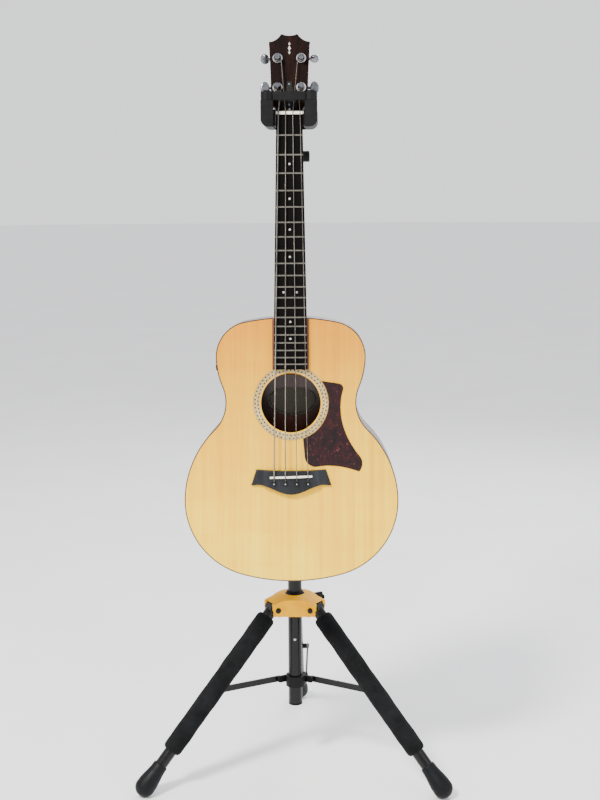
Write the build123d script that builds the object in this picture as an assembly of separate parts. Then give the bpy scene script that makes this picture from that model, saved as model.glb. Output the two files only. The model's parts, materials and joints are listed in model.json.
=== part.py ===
"""A small-bodied four-string acoustic bass guitar hanging in a folding tripod guitar stand.

Millimetres, +Z up, the guitar faces -Y and the floor is Z = 0. The origin is below the middle of the
object's box. Left and right are as seen from the front. Each node in parts/ is one piece or a group.
"""
from build123d import *
from math import acos, atan2, cos, degrees, radians, sin, sqrt
import os

# ---------------------------------------------------------------- guitar: driving dimensions
# Guitar frame: x across, y up the neck from the nut, z out of the face, with z = 0 on the top.
scale_length = 597.0
fret_count = 20
neck_joint_y = -331.0
tail_y = -778.7
# Half outline from the tail to the shoulder: (radius, turn in degrees). A minus turn is the waist.
body_arcs = [(316.0, 15.4), (131.5, 77.6), (172.8, 42.4), (65.6, -68.2), (134.3, 21.4), (60.0, 80.0)]
top_thickness = 2.8
back_thickness = 2.8
side_thickness = 3.0
body_depth = 112.0
back_radius = 2200.0
back_crown_y = -620.0
binding_width = 1.8
binding_height = 5.0
lining_width = 6.0
lining_height = 13.0

sound_hole_y = -474.4
sound_hole_radius = 50.0
rosette_radii = (51.5, 63.0)
rosette_depth = 1.2

nut_width, nut_length, nut_top = 42.9, 5.0, 9.6
board_end_y, board_end_width = -418.0, 56.6
board_bottom, board_top = 1.6, 7.2
board_radius = 381.0
fret_width, fret_height = 2.2, 1.0
tongue_width = 61.0
neck_half_widths = (21.5, 27.4)        # at the nut and at the body
neck_depths = (15.0, 18.0)             # at the nut and at the heel's start
heel_start_y, heel_depth = -262.0, 85.0

bridge_y = -597.0
bridge_height = 8.6
bridge_wing_height = 4.6
saddle_y = bridge_y - 1.5
saddle_seat, saddle_crown = 4.0, 300.0
bridge_pin_radius, pin_head_radius, pin_end = 2.6, 3.9, -6.0
saddle_top, saddle_length, saddle_width, saddle_slant = 12.6, 71.0, 3.2, 1.8
string_spread = (35.4, 56.8)   # at the nut and at the saddle
string_radii = [1.15, 0.9, 0.68, 0.55]
pin_offset = -13.5
pickguard_thickness = 0.9

truss_z = -6.5

head_tilt = 10.0
head_length, head_thickness, overlay_thickness = 134.0, 14.0, 1.4
head_half_widths = (30.0, 33.8)
head_shoulder = 122.0
post_x, post_ys = 19.4, (45.0, 94.0)
post_radius, post_height, journal_radius = 4.7, 16.0, 3.0
worm_radius, worm_offset, worm_z = 2.4, 6.0, -19.0
button_x, button_size = 41.0, (15.0, 21.0, 6.0)
button_turns = (0.0, 68.0, 82.0, 16.0)
housing_size = (17.0, 22.0, 10.0)

jack_z, jack_bore, jack_radius = -53.0, 3.25, 6.0
panel_length, panel_height, panel_z = 46.0, 40.0, -46.0
volume_knob_radius, volume_knob_height = 5.0, 5.0

# ---------------------------------------------------------------- stand: driving dimensions
guitar_lean = 3.5              # degrees, the head leans back
nut_height = 1178.0
yoke_reach = 125.0             # from the mast's axis to the guitar's face plane at the nut

running = 0.08                 # radial clearance of what turns or slides
mast_radius, upper_radius = 12.7, 11.1
upper_wall = 1.3
mast_bottom, mast_top = 116.0, 790.0
upper_bottom, upper_top = 560.0, 1150.0
clutch_radius, clutch_bottom, clutch_top = 20.0, 758.0, 826.0
lever_pivot_y, lever_pivot_z = 25.0, 812.0

leg_directions = {"left": 210.0, "right": 330.0, "rear": 90.0}
leg_angle = 42.0               # degrees from the mast
pivot_radius, pivot_z = 45.0, 304.0
leg_radius, leg_wall = 11.0, 1.4
foam_radius, foam_start, foam_end = 17.6, 18.5, 310.0
foot_radius, foot_z = 19.0, 18.0
boot_length = 46.0

hub_bottom, hub_top = 291.0, 323.0
hub_panel_distance = 35.6
hub_ear_half, hub_slot_half, hub_ear_reach = 20.0, 11.8, 53.0
pin_radius, pin_cap = 3.0, 1.4
hub_collar_top, hub_collar_radius = 331.0, 16.6
hub_knob_z, hub_knob_direction = 307.0, 30.0

collar_pivot_radius, collar_pivot_z = 24.0, 158.0
collar_radius, collar_half_height = 17.5, 10.0
strut_pin_distance = 194.0     # along the leg from its pivot
strut_inner, strut_outer, strut_half_height = 18.3, 21.5, 5.5
rivet_radius = 2.5

arm_half, arm_gap = 46.0, 23.2
arm_low, arm_high = -20.0, 8.6         # from the nut's height
arm_back = 24.0                        # from the mast's axis, forwards
rail_front, rail_half = 30.0, 7.0
head_low, head_knob_z = 1092.0, 1114.0
gate_y, gate_low, gate_high = 143.0, 22.6, 36.0
gate_thickness, gate_pivot_x = 10.0, 35.5
gate_pin_radius, gate_eye_radius, gate_play = 3.0, 10.5, 0.4
pad_thickness = 2.6

# ---------------------------------------------------------------- worked-out places
leg_slope = radians(leg_angle)
foot_distance = (pivot_z - foot_z) / cos(leg_slope)
pin_reach = pivot_radius + strut_pin_distance * sin(leg_slope)
pin_z = pivot_z - strut_pin_distance * cos(leg_slope)
strut_length = sqrt((pin_reach - collar_pivot_radius) ** 2 + (pin_z - collar_pivot_z) ** 2)
strut_rest = degrees(atan2(pin_z - collar_pivot_z, pin_reach - collar_pivot_radius))
strut_folded = degrees(acos((pivot_radius - collar_pivot_radius) / strut_length))
hub_travel = collar_pivot_z + strut_length * sin(radians(strut_folded)) + strut_pin_distance - pivot_z
lean = radians(guitar_lean)

guitar_plane = Plane(origin=(0, -yoke_reach, nut_height), x_dir=(1, 0, 0), z_dir=(0, -cos(lean), sin(lean)))
head_place = Pos(0, 0, board_bottom - overlay_thickness) * Rot(-head_tilt, 0, 0)
nodes = {}


def fret_y(number):
    """Place of a fret, or of any fret number between two frets."""
    return -scale_length * (1 - 2 ** (-number / 12))


def board_half(y):
    """Half width of the fingerboard at a place along the neck."""
    return (nut_width + (board_end_width - nut_width) * y / board_end_y) / 2


def string_x(index, y):
    """Side place of a string between the nut and the saddle."""
    return (string_spread[0] + (string_spread[1] - string_spread[0]) * y / bridge_y) * (index / 3 - 0.5)


def block(low, high):
    """An upright box from its lowest corner to its highest."""
    size = [h - l for l, h in zip(low, high)]
    return Pos(*[(h + l) / 2 for l, h in zip(low, high)]) * Box(*size)


def rod(start, end, radius):
    """A round bar between two points."""
    run = Vector(*end) - Vector(*start)
    base = Cylinder(radius, run.length, align=(Align.CENTER, Align.CENTER, Align.MIN))
    return Plane(origin=start, z_dir=run).location * base


def tube(start, end, radius, bore):
    return rod(start, end, radius) - rod(start, end, bore)


def prism(face, low, high):
    """A face of the XY plane, moved to low and thickened up to high."""
    return extrude(Pos(0, 0, low) * face, amount=high - low, dir=(0, 0, 1))


def group(*shapes):
    """Several separate solids as one node."""
    return Compound([solid for shape in shapes for solid in shape.solids()])


def add_guitar(name, *shapes):
    nodes[name] = guitar_plane.location * group(*shapes)


def add(name, *shapes):
    nodes[name] = group(*shapes)


# ---------------------------------------------------------------- guitar body
def outline_arcs(inset):
    """The right half of the body's outline, moved inwards: tangent arcs and the last heading."""
    arcs, heading = [], 0.0
    point, tangent = Vector(0, tail_y + inset), Vector(1, 0)
    for radius, turn in body_arcs:
        moved = radius - inset if turn > 0 else radius + inset
        arc = JernArc(start=point, tangent=tangent, radius=moved, arc_size=turn)
        point, tangent = arc @ 1, arc % 1
        heading += turn
        arcs.append(arc)
    return arcs, radians(180 - heading)


def outline(inset=0.0):
    """The body's outline as a face, closed over the neck joint by one arc centred on the axis."""
    arcs, rest = outline_arcs(inset)
    end = arcs[-1] @ 1
    radius = end.X / sin(rest)
    cap = ThreePointArc(end, (0, end.Y + radius * (1 - cos(rest))), (-end.X, end.Y))
    return make_face(Curve() + arcs + cap + [mirror(arc, about=Plane.YZ) for arc in arcs])


def back_ball(inset):
    """The ball whose skin is the arched back, moved inwards."""
    return Pos(0, back_crown_y, back_radius - body_depth) * Sphere(back_radius - inset)


def panel_plane():
    """The plane on the left shoulder's wall where the controls sit, looking outwards."""
    arcs, _ = outline_arcs(0)
    place, along = arcs[4] @ 0.62, arcs[4] % 0.62
    return Plane(origin=(-place.X, place.Y, panel_z), x_dir=(0, 0, 1), z_dir=(-along.Y, -along.X, 0))


def build_body():
    deep = -body_depth - 5
    insets = (0, binding_width, side_thickness, side_thickness + lining_width)
    whole, core, wall, bore = (outline(inset) for inset in insets)
    panel = panel_plane().location
    opening = panel * Box(panel_height - 4, panel_length - 4, 30)
    neck_block = block((-36, -376, deep), (36, -300, -top_thickness))
    tail_block = block((-30, -790, deep), (30, -752, -top_thickness))
    jack_hole = rod((0, tail_y - 10, jack_z), (0, tail_y + 45, jack_z), jack_radius)

    hole = Pos(0, sound_hole_y, 0) * Cylinder(sound_hole_radius, 20)
    ring = Cylinder(rosette_radii[1], rosette_depth) - Cylinder(rosette_radii[0], rosette_depth)
    ring = Pos(0, sound_hole_y, -rosette_depth / 2) * ring
    add_guitar("soundboard", prism(core, -top_thickness, 0) - hole - ring - pin_holes())
    add_guitar("rosette", ring)
    add_guitar("back_plate", (prism(core, deep, -60) & back_ball(0)) - back_ball(back_thickness))

    strip = prism(whole, deep, 0) - prism(core, deep, 0)
    front_binding = strip & block((-300, -900, -binding_height), (300, 0, 0))
    rear_binding = (strip & back_ball(0)) - back_ball(binding_height)
    add_guitar("body_binding", front_binding, rear_binding)

    skin = (strip & back_ball(binding_height)) - block((-300, -900, -binding_height), (300, 0, 0))
    ring_wall = prism(core, deep, -top_thickness) - prism(wall, deep, -top_thickness)
    sides = skin + (ring_wall & back_ball(back_thickness)) - opening - jack_hole
    add_guitar("body_sides", sides)

    lining = prism(wall, deep, -top_thickness) - prism(bore, deep, -top_thickness)
    top_lining = lining & block((-300, -900, -top_thickness - lining_height), (300, 0, 0))
    back_lining = (lining & back_ball(back_thickness)) - back_ball(back_thickness + lining_height)
    blocks = neck_block + tail_block
    add_guitar("kerfed_lining", top_lining - blocks, back_lining - blocks)
    inside = prism(wall, deep, -top_thickness) & back_ball(back_thickness)
    add_guitar("end_blocks", neck_block & inside, (tail_block & inside) - jack_hole)

    room = prism(outline(side_thickness + lining_width + 0.3), deep, 0)
    under = -top_thickness
    cross = [Pos(0, -535, under - 6) * Rot(0, 0, turn) * Box(8, 420, 12) for turn in (38, -38)]
    keep_out = block((-200, -900, -60), (200, -690, 0)) + block((-200, -440, -60), (200, 0, 0))
    keep_out += Pos(0, sound_hole_y, 0) * Cylinder(sound_hole_radius + 8, 60)
    x_brace = ((cross[0] + cross[1]) & room) - keep_out
    upper_brace = block((-200, -409, under - 14), (200, -397, under)) & room
    bridge_plate = block((-46, -628, under - 2.5), (46, -592, under)) - (cross[0] + cross[1]) - pin_holes()
    back_layer = (room & back_ball(back_thickness)) - back_ball(back_thickness + 11)
    back_braces = [block((-200, y - 5, -110), (200, y + 5, -70)) & back_layer for y in (-430, -555, -680)]
    add_guitar("braces", x_brace, upper_brace, bridge_plate, *back_braces)

    shell = prism(whole, deep, 0) - prism(wall, deep, 0)
    plate = shell & (panel * Box(panel_height - 4.4, panel_length - 4.4, 30))
    case = panel * Pos(0, 0, -side_thickness - 11.5) * Box(34, 38, 20)
    knob_hole = panel * Cylinder(2.0 + running, 60)
    add_guitar("preamp", (plate - knob_hole), case - knob_hole)
    knob = Pos(0, 0, 0.5 + volume_knob_height / 2) * Cylinder(volume_knob_radius, volume_knob_height)
    knob = fillet(knob.edges().group_by(Axis.Z)[-1], 1.2)
    add_guitar("volume_knob", panel * (knob + Pos(0, 0, -4) * Cylinder(2.0, 10)))

    jack = rod((0, tail_y - 4, jack_z), (0, tail_y + 42, jack_z), jack_radius)
    jack += rod((0, tail_y - 5, jack_z), (0, tail_y, jack_z), 9.5)
    add_guitar("output_jack", jack - rod((0, tail_y - 6, jack_z), (0, tail_y + 34, jack_z), jack_bore))


def pickguard_outline():
    """A flat guard right of the sound hole: it follows the rosette, then sweeps to a tip at the lower right."""
    reach = rosette_radii[1] + 0.4
    start = (sqrt(reach**2 - 36.9**2), sound_hole_y + 36.9)
    end = (20.2, sound_hole_y - sqrt(reach**2 - 20.2**2))
    inner = ThreePointArc(end, (reach * cos(radians(-20)), sound_hole_y + reach * sin(radians(-20))), start)
    rest = Polyline(start, (72.0, -440.6), (81.5, -442.2))
    corner = ThreePointArc((81.5, -442.2), (86.8, -446.6), (87.0, -453.0))
    waist = Spline((87.0, -453.0), (83.0, -482.7), (86.4, -508.6), (98.3, -539.0), (115.2, -564.0))
    tip = ThreePointArc((115.2, -564.0), (119.5, -577.0), (114.2, -590.2))
    lower = Spline((114.2, -590.2), (96.5, -584.8), (70.7, -580.5), (44.0, -582.0))
    round_end = ThreePointArc((44.0, -582.0), (28.5, -577.0), (22.8, -564.0))
    return make_face(Curve() + [inner, rest, corner, waist, tip, lower, round_end, Line((22.8, -564.0), end)])


def bridge_outline():
    """Straight slanted ends, a slightly hollow top edge and a belly below."""
    half_top, half_tip, top_y, tip_y, belly_y = 58.5, 67.5, -586.6, -612.5, -628.9
    top = ThreePointArc((-half_top, top_y), (0, top_y - 2.2), (half_top, top_y))
    belly = Spline(
        (half_tip - 14, tip_y - 0.2), (34.0, -618.6), (0, belly_y), (-34.0, -618.6), (14 - half_tip, tip_y - 0.2)
    )
    ends = [
        Polyline((side * half_top, top_y), (side * half_tip, tip_y - 1.2), (side * (half_tip - 14), tip_y - 0.2))
        for side in (1, -1)
    ]
    return make_face(Curve() + [top, belly, *ends])


def bridge_pin(index):
    """One bridge pin without its head."""
    place = (string_x(index, bridge_y + pin_offset), bridge_y + pin_offset)
    return rod((*place, pin_end), (*place, bridge_height), bridge_pin_radius)


def pin_holes():
    return [bridge_pin(index) for index in range(len(string_radii))]


def build_top_parts():
    add_guitar("pickguard", prism(pickguard_outline(), 0, pickguard_thickness))
    plan = bridge_outline()
    bridge = prism(plan, 0, bridge_wing_height) + (
        prism(plan, 0, bridge_height) & block((-44, -640, 0), (44, -580, bridge_height))
    )
    slot = Pos(0, saddle_y, (saddle_top + saddle_seat) / 2) * Rot(0, 0, saddle_slant)
    slot *= Box(saddle_length, saddle_width, saddle_top - saddle_seat)
    crown = Pos(0, saddle_y, saddle_top - saddle_crown) * Rot(90, 0, 0) * Cylinder(saddle_crown, 60)
    add_guitar("bridge", bridge - slot - pin_holes())
    add_guitar("saddle", slot & crown)
    pins = []
    for index, pin in enumerate(pin_holes()):
        x, y = string_x(index, bridge_y + pin_offset), bridge_y + pin_offset
        head = Pos(x, y, bridge_height) * Sphere(pin_head_radius)
        pins.append(pin + (head & block((x - 5, y - 5, bridge_height), (x + 5, y + 5, bridge_height + 2.4))))
    add_guitar("bridge_pins", *pins)


# ---------------------------------------------------------------- neck, head and strings
def neck_section(y):
    """Half an ellipse below the fingerboard's glue line, deepening quickly at the heel."""
    end_y = neck_joint_y - 2
    half = neck_half_widths[0] + (neck_half_widths[1] - neck_half_widths[0]) * y / end_y
    depth = neck_depths[0] + (neck_depths[1] - neck_depths[0]) * y / heel_start_y
    if y < heel_start_y:
        depth = neck_depths[1] + (heel_depth - neck_depths[1]) * ((y - heel_start_y) / (end_y - heel_start_y)) ** 3
    plane = Plane(origin=(0, y, board_bottom), x_dir=(1, 0, 0), z_dir=(0, -1, 0))
    curve = EllipticalCenterArc((0, 0), half, depth, start_angle=180, arc_size=180)
    return plane * make_face(Curve() + [curve, Line((half, 0), (-half, 0))])


def head_outline(low):
    """The headstock's face: a flare above the nut, bowed sides, shoulders and a small two-horned crest."""
    half, (flare_half, top_half) = nut_width / 2, head_half_widths
    right = [
        Line((half, low), (half, 6.0)),
        ThreePointArc((half, 6.0), (half + 2.6, 13.4), (flare_half, 17.0)),
        Spline((flare_half, 17.0), (flare_half + 0.3, 48.0), (top_half - 1.7, 92.0), (top_half, head_shoulder)),
        Line((top_half, head_shoulder), (30.0, head_shoulder + 0.3)),
        ThreePointArc((30.0, head_shoulder + 0.3), (21.0, 126.5), (14.6, head_length - 0.8)),
        ThreePointArc((14.6, head_length - 0.8), (12.6, head_length + 0.8), (10.4, head_length)),
    ]
    crest = ThreePointArc((10.4, head_length), (0, head_length - 1.8), (-10.4, head_length))
    foot = Line((half, low), (-half, low))
    return make_face(Curve() + right + [crest, foot] + [mirror(edge, about=Plane.YZ) for edge in right])


def tuner_places():
    """(number, side, place up the head): one to four, lower left first, then clockwise."""
    return [(1, -1, post_ys[0]), (2, -1, post_ys[1]), (3, 1, post_ys[1]), (4, 1, post_ys[0])]


def build_neck():
    heel_run = neck_joint_y - 2 - heel_start_y
    places = [1.0, heel_start_y / 2, heel_start_y]
    places += [heel_start_y + heel_run * (step / 12) ** 0.7 for step in range(1, 13)]
    neck = loft([neck_section(y) for y in places], ruled=True)
    neck += block((-tongue_width / 2, board_end_y, 0), (tongue_width / 2, neck_joint_y - 1, board_bottom))
    neck -= prism(outline(), -200, 0)
    neck += block((-nut_width / 2, 0, -9), (nut_width / 2, nut_length, board_bottom))
    head = prism(head_outline(0), -head_thickness, 0)
    overlay = prism(head_outline(nut_length + 0.6), 0, overlay_thickness)
    holes = [Pos(side * post_x, y, 0) * Cylinder(post_radius + 0.5, 60) for _, side, y in tuner_places()]
    pocket = block((-5, nut_length + 2, truss_z - 4), (5, 42, 5))
    rod_body = rod((0, -325, truss_z), (0, 14, truss_z), 3)
    neck = neck + head_place * (head - holes) - pocket - rod_body
    add_guitar("neck", neck)
    add_guitar("headstock_overlay", head_place * (overlay - holes) - pocket)
    add_guitar("truss_rod", rod_body + rod((0, nut_length + 2.4, truss_z), (0, 14, truss_z), 3.6))
    cover = Curve() + [
        Line((-12, 11), (12, 11)), Line((4, 55), (-4, 55)),
        Spline((12, 11), (12, 20), (7.6, 36), (4, 55)), Spline((-12, 11), (-12, 20), (-7.6, 36), (-4, 55)),
    ]
    add_guitar("truss_rod_cover", head_place * prism(make_face(cover), overlay_thickness, overlay_thickness + 1.6))

    end_half = board_end_width / 2
    board = make_face(Polyline(
        (-nut_width / 2, 0), (nut_width / 2, 0), (end_half, board_end_y), (-end_half, board_end_y), close=True,
    ))
    curve_axis = Rot(90, 0, 0)
    crown = Pos(0, -210, board_top - board_radius) * curve_axis * Cylinder(board_radius, 500)
    fret_crown = Pos(0, -210, board_top - board_radius) * curve_axis * Cylinder(board_radius + fret_height, 500)
    add_guitar("fingerboard", prism(board, board_bottom, board_top) & crown)
    frets = []
    for number in range(1, fret_count + 1):
        y, half = fret_y(number), board_half(fret_y(number)) - 0.4
        bar = block((-half, y - fret_width / 2, board_bottom + 3), (half, y + fret_width / 2, board_top + 5))
        frets.append((bar & fret_crown) - crown)
    add_guitar("frets", *frets)
    nut = block((-nut_width / 2, 0, board_bottom), (nut_width / 2, nut_length, nut_top))
    nut = chamfer(nut.edges().filter_by(Axis.X).group_by(Axis.Z)[-1].sort_by(Axis.Y)[-1], 2)
    add_guitar("nut", nut)


def build_tuners():
    housings = []
    for number, side, y in tuner_places():
        shaft_y = y + worm_offset
        inner, outer = side * (post_x - 7.4), side * (button_x - 5)
        bore = rod((inner, shaft_y, worm_z), (side * 60, shaft_y, worm_z), worm_radius + running)
        case = Pos(side * post_x, y, worm_z) * Box(*housing_size)
        case = fillet(case.edges().filter_by(Axis.Z), 3)
        journal_hole = rod((side * post_x, y, -22.4), (side * post_x, y, -10), journal_radius + running)
        ferrule = Cylinder(8, 2) - Cylinder(post_radius + running, 2)
        ferrule = Pos(side * post_x, y, overlay_thickness + 1) * ferrule
        housings += [head_place * (case - journal_hole - bore), head_place * ferrule]
        post = rod((side * post_x, y, -13.8), (side * post_x, y, post_height), post_radius)
        post = chamfer(post.edges().group_by(Axis.Z)[-1], 0.8)
        post += rod((side * post_x, y, -22.2), (side * post_x, y, -13.8), journal_radius)
        post -= Pos(side * post_x, y, post_height) * Box(1.9, 12, 9)
        add_guitar(f"tuner_post_{number}", head_place * post)
        blank = extrude(Ellipse(button_size[0] / 2, button_size[1] / 2), amount=button_size[2] / 2, both=True)
        blank = fillet(blank.edges(), 2.2)
        turn = Pos(side * button_x, shaft_y, worm_z) * Rot(button_turns[number - 1], 0, 0)
        button = turn * blank + rod((inner + side * 0.4, shaft_y, worm_z), (outer, shaft_y, worm_z), worm_radius)
        add_guitar(f"tuner_button_{number}", head_place * button)
    add_guitar("tuner_housings", *housings)


def build_strings():
    posts = {number: (side, y) for number, side, y in tuner_places()}
    strings = []
    for index, radius in enumerate(string_radii):
        side, y = posts[index + 1]
        turn_at = (head_place * Pos(side * (post_x - post_radius - radius - 0.1), y, 7.0 + index % 2)).position
        pin_y, saddle_x, nut_x = bridge_y + pin_offset + 4.6, string_x(index, saddle_y), string_x(index, 0)
        route = [
            Vector(string_x(index, pin_y), pin_y, bridge_height + radius),
            Vector(saddle_x, saddle_y, saddle_height(saddle_x) + radius * 1.04 + 0.45),
            Vector(nut_x, nut_length / 2, nut_top + radius * 1.04 + 0.1),
            turn_at,
        ]
        string = rod(route[0], route[1], radius)
        for start, end in zip(route[1:], route[2:]):
            string += rod(start, end, radius) + Pos(*start) * Sphere(radius * 1.04)
        strings.append(string)
    add_guitar("strings", *strings)


def saddle_height(x):
    """Height of the saddle's crown."""
    return saddle_top - saddle_crown + sqrt(saddle_crown**2 - x**2)


# ---------------------------------------------------------------- stand
def toward(direction, reach, side, z):
    """A point from polar measures: reach along a leg's direction, side square to it."""
    a = radians(direction)
    return (reach * cos(a) - side * sin(a), reach * sin(a) + side * cos(a), z)


def strut_side(leg):
    """Which side of its leg a strut runs on: the two front struts are mirror images, behind their legs."""
    return 1 if leg == "right" else -1


def along_leg(direction, distance, side=0.0):
    """A point on a leg's axis, measured from its pivot."""
    reach = pivot_radius + distance * sin(leg_slope)
    return toward(direction, reach, side, pivot_z - distance * cos(leg_slope))


def ring_z(low, high, radius, bore):
    return tube((0, 0, low), (0, 0, high), radius, bore)


def build_mast():
    sliding = upper_radius + running
    add("mast_lower_tube", ring_z(mast_bottom, mast_top, mast_radius, sliding))
    cap = rod((0, 0, mast_bottom - 4), (0, 0, mast_bottom), mast_radius)
    add("mast_end_cap", cap + rod((0, 0, mast_bottom), (0, 0, mast_bottom + 14), sliding))
    add("mast_upper_tube", ring_z(upper_bottom, upper_top, upper_radius, upper_radius - upper_wall))

    housing = rod((0, 0, clutch_bottom), (0, 0, clutch_top), clutch_radius)
    ears = block((-11, 8, lever_pivot_z - 9), (11, lever_pivot_y + 5, lever_pivot_z + 9))
    housing = housing + ears - block((-6.3, 15.5, lever_pivot_z - 70), (6.3, 60, clutch_top - 4))
    housing -= rod((0, 0, clutch_bottom), (0, 0, mast_top), mast_radius)
    housing -= rod((0, 0, mast_top), (0, 0, clutch_top), sliding)
    pin = rod((-11, lever_pivot_y, lever_pivot_z), (11, lever_pivot_y, lever_pivot_z), 2.5)
    add("clutch_housing", housing - pin, pin)
    profile = Plane.YZ * make_face(Polyline(
        (lever_pivot_y - 4, lever_pivot_z + 4), (lever_pivot_y + 4, lever_pivot_z + 5),
        (lever_pivot_y + 9, lever_pivot_z - 6), (lever_pivot_y + 22, lever_pivot_z - 44),
        (lever_pivot_y + 16, lever_pivot_z - 46), (lever_pivot_y - 2, lever_pivot_z - 7), close=True,
    ))
    lever = extrude(profile, amount=5.9, both=True)
    lever -= rod((-20, lever_pivot_y, lever_pivot_z), (20, lever_pivot_y, lever_pivot_z), 2.5 + running)
    add("clutch_lever", lever)


def build_head():
    n = nut_height
    socket = tube((0, 0, head_low), (0, 0, n - 20), 16, upper_radius)
    body = block((-17, -rail_front + 10, n - 30), (17, 16, n + 20))
    body = body - rod((0, 0, 0), (0, 0, upper_top), upper_radius)
    rail = block((-rail_half, -rail_front, n - 34), (rail_half, -rail_front + 11, n + 20))
    stop = block((-14, -rail_front - 4, n - 34), (14, -rail_front + 11, n - 24.3))
    shaft_hole = rod((9, 0, head_knob_z), (20, 0, head_knob_z), 3 + running)
    add("head_bracket", socket + body + rail + stop - shaft_hole)
    knob = rod((17, 0, head_knob_z), (31, 0, head_knob_z), 9.5)
    knob = fillet(knob.edges().group_by(Axis.X)[-1], 2)
    add("head_knob", knob + rod((upper_radius + 0.4, 0, head_knob_z), (18, 0, head_knob_z), 3))

    arm_top = n + arm_high - pad_thickness
    frame = block((-arm_half, -arm_back - 21, n + arm_low), (arm_half, -arm_back - 9, arm_top))
    slider = block((-16, -arm_back - 10, n - 24), (16, -rail_front + 9.7, arm_top))
    frame += slider - block((-rail_half - running, -rail_front - running, 0), (rail_half + running, 0, 2000))
    pads, pins = [], []
    for side in (-1, 1):
        near, far = sorted((side * (arm_gap + pad_thickness), side * arm_half))
        frame += block((near, -gate_y - 10, n + arm_low), (far, -arm_back - 10, arm_top))
        frame += block((near, -gate_y - 10, n), (far, -gate_y + 10, n + gate_low - gate_play))
        pads.append(pad(side))
        below, low, high, above, top = (
            (side * gate_pivot_x, -gate_y, n + z)
            for z in (gate_low - gate_play, gate_low, gate_high, gate_high + gate_play, gate_high + 2)
        )
        pins.append(rod(below, above, gate_pin_radius) + rod(above, top, 2 * gate_pin_radius))
        gate = rod(low, high, gate_eye_radius)
        x_low, x_high = sorted((side * 0.8, side * gate_pivot_x))
        half = gate_thickness / 2
        bar = block((x_low, -gate_y - half, n + gate_low), (x_high, -gate_y + half, n + gate_high))
        gate = gate + bar - rod(below, top, gate_pin_radius + running)
        add("gate_left" if side < 0 else "gate_right", gate)
    lower = [edge for edge in frame.edges().filter_by(Axis.Y) if edge.center().Z < n]
    frame = fillet([edge for edge in lower if abs(edge.center().X) > arm_half - 0.01], 12)
    add("yoke_frame", frame, *pins)
    add("yoke_pads", *pads)


def pad(side):
    """A rubber strip on the arm's top and inner face, where the headstock rests."""
    n = nut_height
    inner, step, outer = (side * x for x in (arm_gap, arm_gap + pad_thickness, arm_half - 6))
    y_low, y_high = -gate_y + 10.1, -arm_back - 22
    arm_top = n + arm_high - pad_thickness
    top = block((min(inner, outer), y_low, arm_top), (max(inner, outer), y_high, n + arm_high))
    face = block((min(inner, step), y_low, n + arm_low + 2), (max(inner, step), y_high, arm_top))
    return top + face


def build_hub():
    core = extrude(RegularPolygon(hub_panel_distance, 3, major_radius=False), amount=hub_top - hub_bottom + 6)
    corner = core.vertices()[0]
    core = Pos(0, 0, hub_bottom) * Rot(0, 0, 90 - degrees(atan2(corner.Y, corner.X))) * core
    ear_outline = [(0, 0), (hub_ear_reach - 10, 0), (hub_ear_reach, 12), (hub_ear_reach, 60), (0, 60)]
    ear = extrude(make_face(Polyline(*ear_outline, close=True)), amount=hub_ear_half, both=True)
    slots, pins = [], []
    for direction in leg_directions.values():
        along, across = toward(direction, 1, 0, 0), toward(direction, 0, -1, 0)
        plane = Plane(origin=(0, 0, hub_bottom), x_dir=along, z_dir=across)
        core += plane.location * ear
        slot = block((31.4, -hub_slot_half, -50), (90, hub_slot_half, pivot_z - hub_bottom + 12.6))
        slots.append(Pos(0, 0, hub_bottom) * Rot(0, 0, direction) * slot)
        ends = [toward(direction, pivot_radius, side * (hub_ear_half + 0.6), pivot_z) for side in (-1, 1)]
        pins.append(rod(*ends, pin_radius))
        for side in (-1, 1):
            outs = (hub_ear_half, hub_ear_half + pin_cap)
            face, cap = (toward(direction, pivot_radius, side * out, pivot_z) for out in outs)
            pins[-1] += rod(face, cap, 5.2)
    core &= Pos(0, 0, hub_top + 4 - 138) * Sphere(138)
    core -= [*slots, rod((0, 0, 0), (0, 0, 500), mast_radius + running)]
    core -= rod((0, 0, hub_top), (0, 0, 500), hub_collar_radius + 1)
    knob_start, knob_end = (toward(hub_knob_direction, reach, 0, hub_knob_z) for reach in (37, 57))
    shaft_start = toward(hub_knob_direction, mast_radius + 0.4, 0, hub_knob_z)
    core -= rod(toward(hub_knob_direction, 5, 0, hub_knob_z), knob_start, 3 + running)
    add("hub", core - pins)
    add("hub_pins", *pins)
    add("hub_collar", ring_z(hub_top, hub_collar_top, hub_collar_radius, mast_radius + running))
    knob = rod(knob_start, knob_end, 12)
    knob_axis = Axis((0, 0, 0), toward(hub_knob_direction, 1, 0, 0))
    for turn in range(6):
        up = Vector(0, 0, 1).rotate(knob_axis, 60 * turn + 30) * 14.2
        knob -= rod(Vector(*knob_start) + up, Vector(*knob_end) + up, 4.5)
    add("hub_knob", knob + rod(shaft_start, knob_start, 3))


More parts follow.
